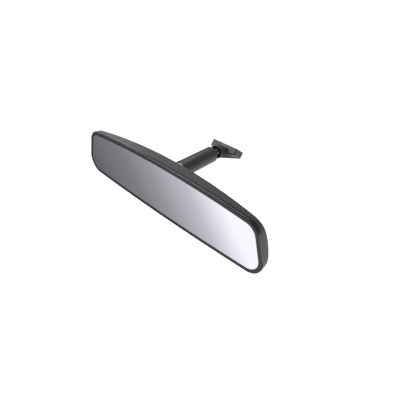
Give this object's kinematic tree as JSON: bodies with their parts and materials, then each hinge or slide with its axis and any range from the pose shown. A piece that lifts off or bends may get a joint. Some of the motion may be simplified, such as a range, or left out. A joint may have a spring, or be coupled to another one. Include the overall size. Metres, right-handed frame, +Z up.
{
  "type": "interior rearview mirror",
  "caption": "Interior rearview mirror: a wide, shallow housing with a framed flat glass, on a short tubular arm with a ball joint at each end and a shoe for a windscreen button.",
  "frame": {"origin": "centre of the button seat, the floor of the channel in the mount shoe, which bears on the windscreen's button", "axes": "+X to the driver's right, +Y forward to the windscreen, +Z up"},
  "size_m": [0.2536, 0.105, 0.0606],
  "materials": {
    "housing_plastic": "fine-grained matt moulded plastic, charcoal",
    "bezel_plastic": "satin moulded plastic, near black",
    "silvered_glass": "polished glass silvered on its back, ground edge",
    "foam": "closed-cell foam",
    "carrier_plastic": "moulded, ribbed",
    "zinc_steel": "zinc plated",
    "ball_steel": "blackened satin steel",
    "arm_paint": "satin black coating on steel tube",
    "spring_steel": "drawn wire",
    "white_acetal": "natural white acetal",
    "shoe_paint": "satin black coating on die-cast zinc",
    "black_steel": "blackened steel"
  },
  "bodies": {
    "mount": {"mount_shoe": "shoe_paint", "mount_ball_stud": "ball_steel", "shoe_set_screw": "black_steel"},
    "mount_liner": {"mount_ball_liner": "white_acetal"},
    "mount_socket": {"mount_socket_ring": "white_acetal", "mount_socket_cup": "white_acetal"},
    "arm": {"arm_tube": "arm_paint", "arm_spring": "spring_steel", "spring_washers": "zinc_steel"},
    "head_socket": {"head_socket_ring": "white_acetal", "head_socket_cup": "white_acetal"},
    "head_liner": {"head_ball_liner": "white_acetal"},
    "head": {"rear_housing": "housing_plastic", "front_bezel": "bezel_plastic", "mirror_glass": "silvered_glass", "glass_foam_pad": "foam", "glass_carrier_plate": "carrier_plastic", "rattle_pads": "foam", "carrier_screws": "zinc_steel", "head_ball_stud": "ball_steel", "stud_clamp_plate": "zinc_steel", "clamp_screws": "zinc_steel"}
  },
  "joints": [
    {"name": "mount_swing", "type": "hinge", "parent": "mount", "child": "mount_liner", "pos_m": [0, -0.0284, 0.00242], "axis": [0, 0, 1], "range_deg": [-15, 15]},
    {"name": "mount_tilt", "type": "hinge", "parent": "mount_liner", "child": "mount_socket", "pos_m": [0, -0.0284, 0.00242], "axis": [1, 0, 0], "range_deg": [-15, 15]},
    {"name": "arm_spin", "type": "hinge", "parent": "mount_socket", "child": "arm", "pos_m": [0, -0.0284, 0.00242], "axis": [0, 0.9992, 0.0401], "continuous": true},
    {"name": "head_roll", "type": "hinge", "parent": "arm", "child": "head_socket", "pos_m": [0, -0.06287, 0.00103], "axis": [0, 0.9992, 0.0401], "continuous": true},
    {"name": "head_tilt", "type": "hinge", "parent": "head_socket", "child": "head_liner", "pos_m": [0, -0.06287, 0.00103], "axis": [1, 0, 0], "range_deg": [-15, 15]},
    {"name": "head_swing", "type": "hinge", "parent": "head_liner", "child": "head", "pos_m": [0, -0.06287, 0.00103], "axis": [0, 0, 1], "range_deg": [-15, 15]}
  ]
}
